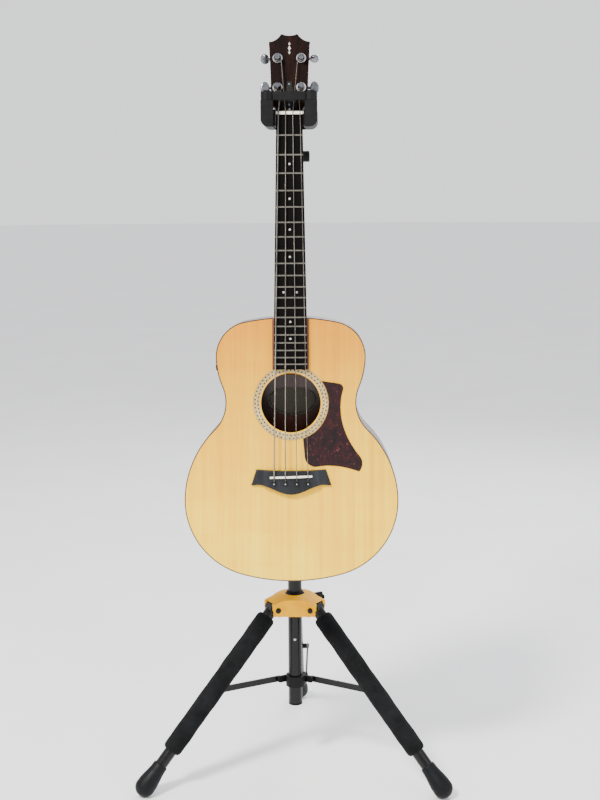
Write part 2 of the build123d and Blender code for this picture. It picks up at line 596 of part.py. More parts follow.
def build_legs():
    collar_low, collar_high = collar_pivot_z - collar_half_height, collar_pivot_z + collar_half_height
    collar = ring_z(collar_low, collar_high, collar_radius, mast_radius)
    rivets = []
    for leg, direction in leg_directions.items():
        side = strut_side(leg)
        lug = block((0, 12.9, -6), (collar_pivot_radius, 18, 6))
        lug += rod((collar_pivot_radius, 12.9, 0), (collar_pivot_radius, 18, 0), 6)
        lug = lug if side > 0 else mirror(lug, about=Plane.XZ)
        lug = Pos(0, 0, collar_pivot_z) * Rot(0, 0, direction) * lug
        collar += lug - rod((0, 0, 0), (0, 0, 400), mast_radius)
        outs = (collar_radius + 0.4, strut_outer + 0.1, strut_outer + 1.3)
        pivot = [toward(direction, collar_pivot_radius, side * out, collar_pivot_z) for out in outs]
        rivets.append(rod(pivot[0], pivot[1], rivet_radius) + rod(pivot[1], pivot[2], 4))

        bar = block((0, strut_inner, -strut_half_height), (strut_length, strut_outer, strut_half_height))
        for reach in (0, strut_length):
            bar += rod((reach, strut_inner, 0), (reach, strut_outer, 0), strut_half_height)
        bar += rod((strut_length, strut_outer, 0), (strut_length, strut_outer + 1.2, 0), 4)
        bar -= rod((0, 0, 0), (0, 40, 0), rivet_radius + running)
        bar = bar if side > 0 else mirror(bar, about=Plane.XZ)
        bar = Pos(collar_pivot_radius, 0, 0) * Rot(0, -strut_rest, 0) * bar
        add(f"strut_{leg}", Pos(0, 0, collar_pivot_z) * Rot(0, 0, direction) * bar)

        tube_end = foot_distance - 14
        tube_ends = [along_leg(direction, distance) for distance in (foam_start, tube_end)]
        shaft = tube(*tube_ends, leg_radius, leg_radius - leg_wall)
        boss_ends = [along_leg(direction, strut_pin_distance, side * out) for out in (leg_radius - 0.6, 18.0)]
        shaft += rod(*boss_ends, 5) - rod(*tube_ends, leg_radius - leg_wall)
        eye_ends = [along_leg(direction, 0, across) for across in (-11.5, 11.5)]
        plug_reaches = (0, foam_start, foam_start + 25)
        shank, plug_start, plug_end = (along_leg(direction, distance) for distance in plug_reaches)
        eye = rod(*eye_ends, 11.5) + rod(shank, plug_start, leg_radius)
        eye += rod(plug_start, plug_end, leg_radius - leg_wall)
        eye -= rod(*[along_leg(direction, 0, across) for across in (-13, 13)], pin_radius + running)
        add(f"leg_tube_{leg}", shaft, eye)
        if leg != "rear":
            foam_ends = [along_leg(direction, distance) for distance in (foam_start + 0.2, foam_end)]
            foam = tube(*foam_ends, foam_radius, leg_radius + 0.05)
            hole_ends = [along_leg(direction, strut_pin_distance, side * out) for out in (9, 25)]
            add(f"foam_grip_{leg}", foam - rod(*hole_ends, 5))

        boot = rod(along_leg(direction, foot_distance - boot_length), along_leg(direction, foot_distance), 14)
        boot += Pos(*along_leg(direction, foot_distance)) * Sphere(foot_radius)
        boot -= rod(along_leg(direction, 0), along_leg(direction, tube_end), leg_radius)
        add(f"foot_{leg}", boot & block((-500, -500, 0), (500, 500, 200)))
    add("strut_collar", collar, *rivets)


build_body()
build_top_parts()
build_neck()
build_tuners()
build_strings()
build_mast()
build_head()
build_hub()
build_legs()
whole_box = group(*nodes.values()).bounding_box()
shift_y = -(whole_box.min.Y + whole_box.max.Y) / 2
os.makedirs("parts", exist_ok=True)
for name, shape in nodes.items():
    export_step(Pos(0, shift_y, 0) * shape, f"parts/{name}.step")
print(len(nodes), "nodes", whole_box.size, "shift", shift_y, "travel", hub_travel)
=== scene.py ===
"""A small acoustic bass guitar that hangs in a folding tripod stand.

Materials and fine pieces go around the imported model. Metres, +Z up, the guitar faces -Y. Guitar pieces are
placed in the guitar's own frame, which the record gives: x across, y up the neck from the nut, z out of the
face, with z = 0 on the top.
"""
import json
import math

import bmesh
import bpy
from mathutils import Matrix, Vector


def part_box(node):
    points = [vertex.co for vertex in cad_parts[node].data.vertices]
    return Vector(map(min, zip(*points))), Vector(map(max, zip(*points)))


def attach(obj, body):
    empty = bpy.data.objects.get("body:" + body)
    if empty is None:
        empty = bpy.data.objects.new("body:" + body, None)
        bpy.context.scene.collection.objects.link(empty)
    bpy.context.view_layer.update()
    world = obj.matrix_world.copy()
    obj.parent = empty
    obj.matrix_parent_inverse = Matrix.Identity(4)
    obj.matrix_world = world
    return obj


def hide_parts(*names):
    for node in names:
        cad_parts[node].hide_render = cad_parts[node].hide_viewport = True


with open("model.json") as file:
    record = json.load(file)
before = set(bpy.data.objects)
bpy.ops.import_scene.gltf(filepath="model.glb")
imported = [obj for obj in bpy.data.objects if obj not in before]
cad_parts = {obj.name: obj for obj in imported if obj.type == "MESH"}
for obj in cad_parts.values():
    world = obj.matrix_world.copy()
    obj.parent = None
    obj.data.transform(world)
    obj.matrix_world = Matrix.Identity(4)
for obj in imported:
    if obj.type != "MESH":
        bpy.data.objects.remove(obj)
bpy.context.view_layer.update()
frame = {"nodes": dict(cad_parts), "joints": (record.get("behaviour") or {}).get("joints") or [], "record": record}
record = frame["record"]
cad = frame["nodes"]
joints = {joint["name"]: joint for joint in frame["joints"]}
mounts = {mount["name"]: mount for mount in record["mounts"]}
MM = 0.001


# ---------------------------------------------------------------- places
def frame_matrix(origin, up, out):
    """A frame whose y is up and whose z is out."""
    right = up.cross(out)
    rows = [[right[i], up[i], out[i], origin[i]] for i in range(3)]
    return Matrix([*rows, [0, 0, 0, 1]])


JACK_IN_GUITAR = Vector((0, -764.7, -53.0)) * MM
guitar_up = -Vector(mounts["output_jack_bore"]["axis"]).normalized()
guitar_out = Vector((1, 0, 0)).cross(guitar_up)
guitar_turn = frame_matrix(Vector((0, 0, 0)), guitar_up, guitar_out)
jack_place = Vector(mounts["output_jack_bore"]["pos_m"])
guitar = Matrix.Translation(jack_place - guitar_turn @ JACK_IN_GUITAR) @ guitar_turn

POST_X = 19.4 * MM
POST_YS = (45 * MM, 94 * MM)
POST_RADIUS = 4.7 * MM
head_out = Vector(joints["tuner_post_1_turn"]["axis"]).normalized()
head_up = head_out.cross(Vector((1, 0, 0)))
head_turn = frame_matrix(Vector((0, 0, 0)), head_up, head_out)
first_post = Vector(joints["tuner_post_1_turn"]["pos_m"])
head = Matrix.Translation(first_post - head_turn @ Vector((-POST_X, POST_YS[0], 0))) @ head_turn
# each tuner's number, side and place up the head
tuners = [(1, -1, POST_YS[0]), (2, -1, POST_YS[1]), (3, 1, POST_YS[1]), (4, 1, POST_YS[0])]

mast_low, mast_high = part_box("mast_lower_tube")
mast_axis = Vector(((mast_low.x + mast_high.x) / 2, (mast_low.y + mast_high.y) / 2, 0))
MAST_RADIUS = (mast_high.x - mast_low.x) / 2


# ---------------------------------------------------------------- camera, floor and light
CAMERA_PLACE = Vector((0.0668, -2.2896, 1.0566))      # from the foot of the mast's axis
CAMERA_PITCH, CAMERA_YAW, CAMERA_ROLL = 9.23, 1.38, -0.34
CAMERA_LENS = 58.2
LIGHTS_AIM = Vector((0, 0, 0.65))                      # the middle of the guitar's body
FLOOR_RADIUS = 40


def build_camera():
    """The photo's view: from the front and a little to the right, looking slightly down."""
    data = bpy.data.cameras.new("camera")
    data.lens = CAMERA_LENS
    camera = bpy.data.objects.new("camera", data)
    turn = Matrix.Rotation(math.radians(CAMERA_YAW), 4, "Z")
    turn = turn @ Matrix.Rotation(math.radians(90 - CAMERA_PITCH), 4, "X")
    turn = turn @ Matrix.Rotation(math.radians(CAMERA_ROLL), 4, "Z")
    camera.matrix_world = Matrix.Translation(mast_axis + CAMERA_PLACE) @ turn
    bpy.context.scene.collection.objects.link(camera)
    bpy.context.scene.camera = camera


def area_light(name, place, size, power, colour):
    """A square soft box that is aimed at the guitar's body."""
    data = bpy.data.lights.new(name, "AREA")
    data.size, data.energy, data.color = size, power, colour
    lamp = bpy.data.objects.new(name, data)
    lamp.location = place
    lamp.rotation_euler = (LIGHTS_AIM - Vector(place)).to_track_quat("-Z", "Y").to_euler()
    bpy.context.scene.collection.objects.link(lamp)


def build_studio():
    """A small key light high on the left, a broad fill on the right, a light behind and an even sky."""
    area_light("key", (-1.3, -2.0, 2.9), 0.6, 210, (1.0, 0.97, 0.90))
    area_light("fill", (2.4, -2.0, 1.4), 2.2, 30, (0.95, 0.97, 1.0))
    area_light("back", (0.9, 2.2, 2.2), 1.6, 60, (0.96, 0.98, 1.0))
    world = bpy.data.worlds.new("studio")
    world.use_nodes = True
    world.node_tree.nodes["Background"].inputs["Color"].default_value = (0.90, 0.91, 0.93, 1)
    world.node_tree.nodes["Background"].inputs["Strength"].default_value = 1.5
    bpy.context.scene.world = world
    build_floor()


def build_floor():
    """A wide round floor."""
    mesh = bpy.data.meshes.new("floor")
    shell = bmesh.new()
    bmesh.ops.create_circle(shell, cap_ends=True, segments=96, radius=FLOOR_RADIUS)
    shell.to_mesh(mesh)
    shell.free()
    floor = bpy.data.objects.new("floor", mesh)
    bpy.context.scene.collection.objects.link(floor)
    floor.data.materials.append(floor_material())


# ---------------------------------------------------------------- materials
def srgb(red, green, blue):
    """A screen colour, 0 to 255, as the linear colour that shaders take."""
    def linear(value):
        value /= 255
        return value / 12.92 if value <= 0.04045 else ((value + 0.055) / 1.055) ** 2.4
    return (linear(red), linear(green), linear(blue), 1.0)


class Graph:
    """A principled material under construction. Its texture space is the object's own, in metres."""

    def __init__(self, name, roughness=0.5, **constants):
        self.material = bpy.data.materials.new(name)
        self.material.use_nodes = True
        self.tree = self.material.node_tree
        self.shader = self.tree.nodes["Principled BSDF"]
        self.shader.inputs["Roughness"].default_value = roughness
        for socket, value in constants.items():
            self.shader.inputs[socket.replace("_", " ")].default_value = value
        self.space = self.add("TexCoord").outputs["Object"]

    def add(self, kind, **properties):
        node = self.tree.nodes.new("ShaderNode" + kind)
        for key, value in properties.items():
            setattr(node, key, value)
        return node

    def feed(self, socket, value):
        """Links a socket of another node, or sets a plain value."""
        if isinstance(value, bpy.types.NodeSocket):
            self.tree.links.new(value, socket)
        else:
            socket.default_value = value

    def stretch(self, x, y, z, turn=(0, 0, 0)):
        """The texture space scaled along each axis, after a turn."""
        mapping = self.add("Mapping")
        mapping.inputs["Rotation"].default_value = [math.radians(angle) for angle in turn]
        mapping.inputs["Scale"].default_value = (x, y, z)
        self.feed(mapping.inputs["Vector"], self.space)
        return mapping.outputs["Vector"]

    def noise(self, vector, scale=1.0, detail=4.0, roughness=0.55, distortion=0.0):
        node = self.add("TexNoise")
        self.feed(node.inputs["Vector"], vector)
        node.inputs["Scale"].default_value = scale
        node.inputs["Detail"].default_value = detail
        node.inputs["Roughness"].default_value = roughness
        node.inputs["Distortion"].default_value = distortion
        return node.outputs["Fac"]

    def bands(self, vector, scale, distortion=1.0, direction="X"):
        node = self.add("TexWave", bands_direction=direction)
        self.feed(node.inputs["Vector"], vector)
        node.inputs["Scale"].default_value = scale
        node.inputs["Distortion"].default_value = distortion
        node.inputs["Detail"].default_value = 2.0
        node.inputs["Detail Scale"].default_value = 1.0
        return node.outputs["Fac"]

    def cells(self, vector, scale):
        node = self.add("TexVoronoi")
        self.feed(node.inputs["Vector"], vector)
        node.inputs["Scale"].default_value = scale
        return node.outputs["Distance"]

    def ramp(self, value, *stops):
        """Colours or greys at places from 0 to 1."""
        node = self.add("ValToRGB")
        ramp = node.color_ramp
        while len(ramp.elements) < len(stops):
            ramp.elements.new(0.5)
        for element, (place, colour) in zip(ramp.elements, stops):
            element.position = place
            element.color = colour if isinstance(colour, tuple) else (colour, colour, colour, 1)
        self.feed(node.inputs["Fac"], value)
        return node.outputs["Color"]

    def mix(self, share, first, second, blend="MIX"):
        """The second colour laid over the first by a share."""
        node = self.add("Mix", data_type="RGBA", blend_type=blend)
        for name, value in (("Factor_Float", share), ("A_Color", first), ("B_Color", second)):
            self.feed(next(socket for socket in node.inputs if socket.identifier == name), value)
        return next(socket for socket in node.outputs if socket.identifier == "Result_Color")

    def bump(self, height, depth, strength=0.5, under=None):
        node = self.add("Bump")
        node.inputs["Strength"].default_value = strength
        node.inputs["Distance"].default_value = depth
        self.feed(node.inputs["Height"], height)
        if under:
            self.feed(node.inputs["Normal"], under)
        return node.outputs["Normal"]

    def done(self, colour=None, roughness=None, normal=None):
        """Feeds the shader what was worked out, and gives the material back."""
        for socket, value in (("Base Color", colour), ("Roughness", roughness), ("Normal", normal)):
            if value is not None:
                self.feed(self.shader.inputs[socket], value)
        return self.material


def floor_material():
    """A pale, faintly uneven studio floor."""
    graph = Graph("floor_pale", roughness=0.62)
    tone = graph.noise(graph.space, scale=3.0, detail=3.0)
    return graph.done(graph.ramp(tone, (0.3, srgb(234, 234, 236)), (0.7, srgb(239, 239, 240))))


def spruce():
    """Straight quarter-sawn grain with cross silk under a satin finish, and painted shade that darkens the top
    higher up.
    """
    finish = {"Coat_Weight": 0.04, "Coat_Roughness": 0.22, "Specular_IOR_Level": 0.2}
    graph = Graph("spruce_satin", roughness=0.46, **finish)
    rings = graph.bands(graph.stretch(1, 0.05, 0.02), 150, distortion=2.2)
    streaks = graph.noise(graph.stretch(75, 4, 1.1), detail=5.0, roughness=0.6)
    fibres = graph.noise(graph.stretch(900, 60, 14), detail=2.0)
    silk = graph.noise(graph.stretch(9, 3, 34), detail=3.0, distortion=0.6)
    dark, plain, pale = srgb(196, 122, 2), srgb(246, 188, 12), srgb(255, 226, 60)
    base = graph.ramp(streaks, (0.30, dark), (0.5, plain), (0.70, pale))
    base = graph.mix(0.55, base, graph.ramp(rings, (0.0, srgb(186, 110, 2)), (0.45, srgb(255, 210, 34))))
    thread = graph.ramp(fibres, (0.3, srgb(150, 100, 50)), (0.7, srgb(250, 224, 170)))
    base = graph.mix(0.20, base, thread, "SOFT_LIGHT")
    base = graph.mix(0.45, base, graph.ramp(silk, (0.36, 0.34), (0.66, 0.64)), "SOFT_LIGHT")
    patches = graph.noise(graph.space, scale=5.0, detail=2.0)
    warm = graph.ramp(patches, (0.35, srgb(244, 178, 6)), (0.7, srgb(255, 226, 58)))
    base = graph.mix(0.28, base, warm)
    # painted shade: the top is darkened higher up, towards the neck
    height = graph.ramp(graph.stretch(0, 0, 3), (0.52, srgb(255, 255, 255)), (0.86, srgb(198, 150, 60)))
    base = graph.mix(0.85, base, height, "MULTIPLY")
    normal = graph.bump(fibres, 0.00006, 0.5, graph.bump(rings, 0.00005, 0.35))
    rough = graph.ramp(streaks, (0.3, 0.36), (0.7, 0.46))
    return graph.done(base, rough, normal)


def dark_wood(name, deep, middle, light, roughness=0.34, ribbon=26.0, coat=0.35, shine=0.5):
    """A dark tropical wood: broad ribbon figure and short pores, under a lacquer where it has a coat."""
    graph = Graph(name, roughness=roughness, Coat_Weight=coat, Coat_Roughness=0.16, Specular_IOR_Level=shine)
    figure = graph.noise(graph.stretch(ribbon, ribbon, 1.6), detail=4.0, distortion=0.5)
    pores = graph.noise(graph.stretch(520, 520, 42), detail=2.0)
    colour = graph.ramp(figure, (0.30, deep), (0.52, middle), (0.74, light))
    colour = graph.mix(0.55, colour, graph.ramp(pores, (0.36, 0.30), (0.56, 0.62)), "SOFT_LIGHT")
    normal = graph.bump(pores, 0.00008, 0.4)
    return graph.done(colour, graph.ramp(pores, (0.3, roughness + 0.1), (0.6, roughness - 0.04)), normal)


def raw_wood():
    """Unfinished spruce inside the box."""
    graph = Graph("spruce_unfinished", roughness=0.78)
    grain = graph.noise(graph.stretch(90, 60, 5), detail=4.0)
    fuzz = graph.noise(graph.stretch(700, 700, 90), detail=2.0)
    colour = graph.ramp(grain, (0.3, srgb(112, 78, 44)), (0.7, srgb(150, 112, 68)))
    return graph.done(colour, None, graph.bump(fuzz, 0.00012, 0.5))


def tortoise():
    """Dark red celluloid with streaked darker clouds and small pinkish flecks."""
    finish = {"Coat_Weight": 0.12, "Coat_Roughness": 0.06, "Specular_IOR_Level": 0.3}
    graph = Graph("tortoise_guard", roughness=0.2, **finish)
    clouds = graph.noise(graph.stretch(70, 70, 46, turn=(0, 28, 0)), detail=5.0, distortion=1.4)
    flecks = graph.noise(graph.stretch(330, 330, 210, turn=(0, 35, 0)), detail=3.0, distortion=0.8)
    colour = graph.ramp(clouds, (0.34, srgb(10, 1, 2)), (0.52, srgb(28, 4, 6)), (0.72, srgb(50, 10, 12)))
    colour = graph.mix(graph.ramp(flecks, (0.63, 0.0), (0.74, 0.5)), colour, srgb(140, 66, 70))
    return graph.done(colour, None, graph.bump(clouds, 0.00003, 0.25))


def plastic(name, dark, light, roughness, grain=1500.0, depth=0.00004, coat=0.0, shine=0.5):
    """Moulded plastic or rubber: a fine texture and an uneven sheen."""
    graph = Graph(name, roughness=roughness, Coat_Weight=coat, Coat_Roughness=0.12, Specular_IOR_Level=shine)
    tone = graph.noise(graph.space, scale=38.0, detail=3.0)
    skin = graph.noise(graph.space, scale=grain, detail=2.0)
    colour = graph.ramp(tone, (0.32, dark), (0.70, light))
    sheen = graph.noise(graph.space, scale=90.0, detail=3.0)
    rough = graph.ramp(sheen, (0.3, roughness * 0.85), (0.7, min(1.0, roughness * 1.2)))
    return graph.done(colour, rough, graph.bump(skin, depth, 0.45))


def black_paint():
    """Stoved gloss paint on steel tube: faint orange peel, rubbed duller in places."""
    finish = {"Coat_Weight": 0.12, "Coat_Roughness": 0.08, "Specular_IOR_Level": 0.2}
    graph = Graph("black_tube_paint", roughness=0.24, **finish)
    peel = graph.noise(graph.space, scale=420.0, detail=2.0)
    rubbed = graph.noise(graph.stretch(40, 40, 9), detail=5.0, roughness=0.7)
    colour = graph.ramp(rubbed, (0.40, srgb(2, 2, 2)), (0.80, srgb(10, 10, 11)))
    return graph.done(colour, graph.ramp(rubbed, (0.35, 0.20), (0.75, 0.38)), graph.bump(peel, 0.00003, 0.35))


def metal(name, dark, light, roughness, wear=0.12):
    """Bare or plated metal: cloudy stains that dull it in places, and fine scratches."""
    graph = Graph(name, roughness=roughness, Metallic=1.0)
    stain = graph.noise(graph.stretch(60, 60, 60), scale=4.0, detail=5.0, roughness=0.7)
    scratch = graph.noise(graph.stretch(2400, 500, 500, turn=(20, 30, 10)), detail=2.0)
    colour = graph.ramp(stain, (0.30, dark), (0.66, light))
    rough = graph.ramp(stain, (0.3, roughness + wear), (0.65, roughness))
    return graph.done(colour, rough, graph.bump(scratch, 0.00001, 0.25))


def wound_string():
    """Wound string wire in dull grey: close ridges, one above another up the neck, with painted shade in the
    grooves between them.
    """
    graph = Graph("string_wrap", roughness=0.34, Metallic=1.0)
    ridges = graph.bands(graph.space, 560.0, distortion=0.0, direction="Z")
    tone = graph.noise(graph.stretch(40, 40, 12), detail=3.0)
    colour = graph.ramp(tone, (0.3, srgb(84, 80, 74)), (0.7, srgb(148, 143, 134)))
    # painted shade darkens the grooves between the ridges
    colour = graph.mix(graph.ramp(ridges, (0.1, 0.45), (0.5, 0.0)), colour, srgb(28, 22, 16))
    return graph.done(colour, None, graph.bump(ridges, 0.0002, 0.8))


def foam():
    """Closed-cell foam: matt black with fine pores that hold painted shade, and faint scuffs."""
    graph = Graph("foam_cells", roughness=0.96, Specular_IOR_Level=0.15)
    pores = graph.cells(graph.space, 900.0)
    scuff = graph.noise(graph.space, scale=26.0, detail=5.0, roughness=0.7)
    colour = graph.ramp(scuff, (0.36, srgb(9, 10, 11)), (0.78, srgb(27, 28, 30)))
    # painted shade darkens the hollows of the pores
    colour = graph.mix(graph.ramp(pores, (0.12, 0.65), (0.4, 0.0)), colour, srgb(5, 5, 6))
    return graph.done(colour, None, graph.bump(pores, 0.00025, 0.7, graph.bump(scuff, 0.0004, 0.3)))


def pearl():
    """Shell inlay: muted swirls of greenish, white and pinkish grey."""
    graph = Graph("pearl_inlay", roughness=0.2, Coat_Weight=0.3, Coat_Roughness=0.08)
    swirl = graph.noise(graph.space, scale=420.0, detail=4.0, distortion=1.6)
    green, white, pink = srgb(138, 142, 134), srgb(176, 174, 166), srgb(158, 150, 158)
    return graph.done(graph.ramp(swirl, (0.3, green), (0.5, white), (0.72, pink)))


def paper():
    """Label paper with fine fibres, darkened grey by painted shade."""
    graph = Graph("label_paper_painted_shade", roughness=0.85)
    fibre = graph.noise(graph.space, scale=700.0, detail=4.0)
    # painted shade: the paper is darkened to the grey it shows deep inside the box
    colour = graph.ramp(fibre, (0.3, srgb(104, 101, 92)), (0.7, srgb(128, 124, 112)))
    return graph.done(colour, None, graph.bump(fibre, 0.00005, 0.3))


def bone():
    """Polished bone with faint veins from side to side."""
    graph = Graph("bone_nut", roughness=0.3, Coat_Weight=0.2, Coat_Roughness=0.1)
    veins = graph.noise(graph.stretch(60, 240, 240), detail=4.0, distortion=0.4)
    return graph.done(graph.ramp(veins, (0.3, srgb(226, 216, 194)), (0.62, srgb(244, 240, 228))))


def make_materials():
    """The materials by slot name, and a few more for pieces that share a slot but look different."""
    return {
        "spruce_top": spruce(),
        "sapele": dark_wood("sapele_lacquer", srgb(44, 18, 12), srgb(78, 34, 20), srgb(112, 54, 32)),
        "overlay": dark_wood(
            "head_veneer", srgb(7, 2, 1), srgb(16, 5, 3), srgb(32, 11, 6),
            roughness=0.6, coat=0.0, shine=0.05,
        ),
        "neck_wood": dark_wood(
            "neck_satin", srgb(58, 26, 12), srgb(94, 46, 22), srgb(128, 72, 38),
            roughness=0.44, coat=0.1,
        ),
        "board": dark_wood(
            "board_ebony", srgb(2, 2, 2), srgb(5, 4, 4), srgb(14, 10, 9),
            roughness=0.6, ribbon=60, coat=0.0, shine=0.05,
        ),
        "ebony": dark_wood(
            "bridge_ebony", srgb(10, 11, 13), srgb(20, 22, 26), srgb(34, 36, 42),
            roughness=0.44, ribbon=34, coat=0.04, shine=0.25,
        ),
        "inner_wood": raw_wood(),
        "black_binding": plastic("dark_binding", srgb(24, 10, 9), srgb(48, 20, 16), 0.24, coat=0.3),
        "cream": plastic("cream_ring", srgb(178, 150, 92), srgb(206, 182, 124), 0.3, coat=0.2),
        "line": plastic("black_line", srgb(20, 16, 14), srgb(38, 32, 28), 0.3),
        "tortoise": tortoise(),
        "bone": bone(),
        "pearl": pearl(),
        "paper": paper(),
        "black_plastic": plastic(
            "black_moulding", srgb(5, 5, 6), srgb(14, 14, 16), 0.5,
            grain=900.0, depth=0.00008, shine=0.15,
        ),
        "chrome": metal("chrome_plate", srgb(170, 172, 178), srgb(222, 224, 228), 0.12, wear=0.08),
        # painted shade: a darker copy of chrome for the tuners and the truss rod cover's screws
        "dark_chrome": metal("chrome_painted_shade", srgb(70, 72, 76), srgb(132, 134, 140), 0.14, wear=0.08),
        "nickel_silver": metal("fret_wire", srgb(88, 84, 76), srgb(142, 138, 128), 0.3),
        "string_steel": wound_string(),
        "steel": metal("zinc_steel", srgb(112, 112, 116), srgb(168, 168, 172), 0.32),
        "dark_steel": metal("black_oxide_steel", srgb(30, 26, 26), srgb(66, 58, 56), 0.38),
        "black_paint": black_paint(),
        "yellow_plastic": plastic(
            "yellow_nylon", srgb(236, 164, 0), srgb(248, 182, 0), 0.46,
            grain=700.0, depth=0.00006, shine=0.06,
        ),
        "foam": foam(),
        "rubber": plastic(
            "foot_rubber", srgb(3, 4, 6), srgb(10, 12, 16), 0.5,
            grain=800.0, depth=0.00012, shine=0.15,
        ),
    }


def dress_cad_nodes():
    """Each CAD node takes its slot's material, or a closer one where it looks different."""
    closer = {
        "fingerboard": "board",
        "headstock_overlay": "overlay",
        "hub_pins": "dark_steel",
        "rosette": "cream",
    }
    for part in record["subparts"]:
        name = part["node"]
        # the tuners' buttons and posts take the chrome with painted shade
        shaded_tuner = name.startswith(("tuner_button", "tuner_post"))
        chosen = "dark_chrome" if shaded_tuner else closer.get(name, part["material_slot"])
        material = materials[chosen]
        if not cad[name].material_slots:
            cad[name].data.materials.append(material)
        for place in cad[name].material_slots:
            place.material = material


# ---------------------------------------------------------------- mesh helpers
def piece(name, vertices, faces, material, body, slot=None, place=None, flat=False):
    """A mesh piece from its vertices, set in a frame, riding on a body."""
    mesh = bpy.data.meshes.new(name)
    mesh.from_pydata([tuple(vertex) for vertex in vertices], [], faces)
    shell = bmesh.new()
    shell.from_mesh(mesh)
    bmesh.ops.recalc_face_normals(shell, faces=shell.faces)
    shell.to_mesh(mesh)
    shell.free()
    mesh.transform(place or Matrix.Identity(4))
    made = bpy.data.objects.new(name, mesh)
    bpy.context.scene.collection.objects.link(made)
    for entry in material if isinstance(material, list) else [material]:
        mesh.materials.append(materials[entry])
    mesh.polygons.foreach_set("use_smooth", [not flat] * len(mesh.polygons))
    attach(made, body)
    return made


def soften(made, width, segments=3, angle=35):
    """Rounds the sharp edges and keeps the flats flat."""
    rounding = made.modifiers.new("rounding", "BEVEL")
    rounding.width = width
    rounding.segments = segments
    rounding.limit_method = "ANGLE"
    rounding.angle_limit = math.radians(angle)
    rounding.harden_normals = True


def soften_cad_edges():
    """Small rounded edges on the CAD nodes that would otherwise look sharp, in millimetres."""
    widths = {
        "yoke_frame": 1.6, "gate_left": 1.6, "gate_right": 1.6, "head_bracket": 1.2, "hub": 1.0,
        "clutch_lever": 1.0, "saddle": 0.6, "nut": 0.5, "truss_rod_cover": 0.5, "pickguard": 0.35,
        "headstock_overlay": 0.3,
    }
    for name, width in widths.items():
        soften(cad[name], width * MM)


def turns(count):
    """Angles spaced evenly round a circle."""
    return [2 * math.pi * step / count for step in range(count)]


def ring_faces(gaps, count):
    """The faces that fill the gaps between rings, each ring with the same count of points."""
    faces = []
    for ring in range(gaps):
        near, far = ring * count, (ring + 1) * count
        for step in range(count):
            after = (step + 1) % count
            faces.append((near + step, near + after, far + after, far + step))
    return faces


def lathe(profile, segments=48, shape=None, closed=False):
    """(vertices, faces) of a profile of (radius, height) turned about z.

    shape(height, angle) may scale the radius. A closed profile joins its last point to its first, and an open
    one has a disc at each end.
    """
    vertices = []
    for radius, height in profile:
        for angle in turns(segments):
            reach = radius * (shape(height, angle) if shape else 1)
            vertices.append((reach * math.cos(angle), reach * math.sin(angle), height))
    last = (len(profile) - 1) * segments
    faces = ring_faces(len(profile) - 1, segments)
    if closed:
        for step in range(segments):
            after = (step + 1) % segments
            faces.append((last + step, last + after, after, step))
    else:
        faces.append(tuple(reversed(range(segments))))
        faces.append(tuple(last + step for step in range(segments)))
    return vertices, faces


def aimed(place, direction):
    """A frame at a place whose z looks along a direction."""
    return Matrix.Translation(place) @ Vector(direction).to_track_quat("Z", "Y").to_matrix().to_4x4()


def screw(name, place, direction, radius, body, material="steel", slot="steel", lobes=4):
    """A domed screw head with a cross or hexagon recess, its underside on the place."""
    segments, depth = 48, radius * 0.42
    rim, floor = radius * 0.56, radius * 0.40

    def recess(angle):
        if lobes == 4:
            return 0.42 + 0.58 * abs(math.cos(2 * angle)) ** 5
        return 0.9 + 0.1 * abs(math.cos(3 * angle))

    rings = [(radius * 0.97, -0.3 * MM), (radius, radius * 0.1)]
    rings += [(radius * 0.93, radius * 0.3), (radius * 0.72, depth * 1.2)]
    vertices = []
    for reach, height in rings:
        vertices += [(reach * math.cos(a), reach * math.sin(a), height) for a in turns(segments)]
    for width, height in ((rim, depth * 1.28), (floor, depth * 0.35)):
        for angle in turns(segments):
            reach = width * recess(angle)
            vertices.append((reach * math.cos(angle), reach * math.sin(angle), height))
    faces = ring_faces(len(rings) + 1, segments)
    faces.append(tuple((len(rings) + 1) * segments + step for step in range(segments)))
    faces.append(tuple(reversed(range(segments))))
    return piece(name, vertices, faces, material, body, slot, aimed(place, direction))


def tube_along(name, points, radius, material, body, slot=None, sides=10):
    """A round wire with closed ends through points in the shared frame."""
    vertices = []
    up = (points[1] - points[0]).orthogonal().normalized()
    for index, point in enumerate(points):
        ahead = (points[min(index + 1, len(points) - 1)] - points[max(index - 1, 0)]).normalized()
        up = (up - ahead * up.dot(ahead)).normalized()
        side = ahead.cross(up)
        vertices += [point + (up * math.cos(a) + side * math.sin(a)) * radius for a in turns(sides)]
    faces = ring_faces(len(points) - 1, sides)
    faces += [tuple(reversed(range(sides))), tuple((len(points) - 1) * sides + step for step in range(sides))]
    return piece(name, vertices, faces, material, body, slot)


# ---------------------------------------------------------------- guitar pieces
SCALE_LENGTH = 597 * MM
BOARD_TOP = 7.2 * MM
BOARD_RADIUS = 381 * MM
SOUND_HOLE_Y = -474.4 * MM
INLAY_DEPTH = 0.9 * MM
LABEL_DEPTH = 103.4 * MM
PIN_SPREAD = 57.28 * MM
PIN_Y = -610.5 * MM
PIN_TOP = 11.0 * MM


def fret_y(number):
    """A fret's place down the neck."""
    return -SCALE_LENGTH * (1 - 2 ** (-number / 12))


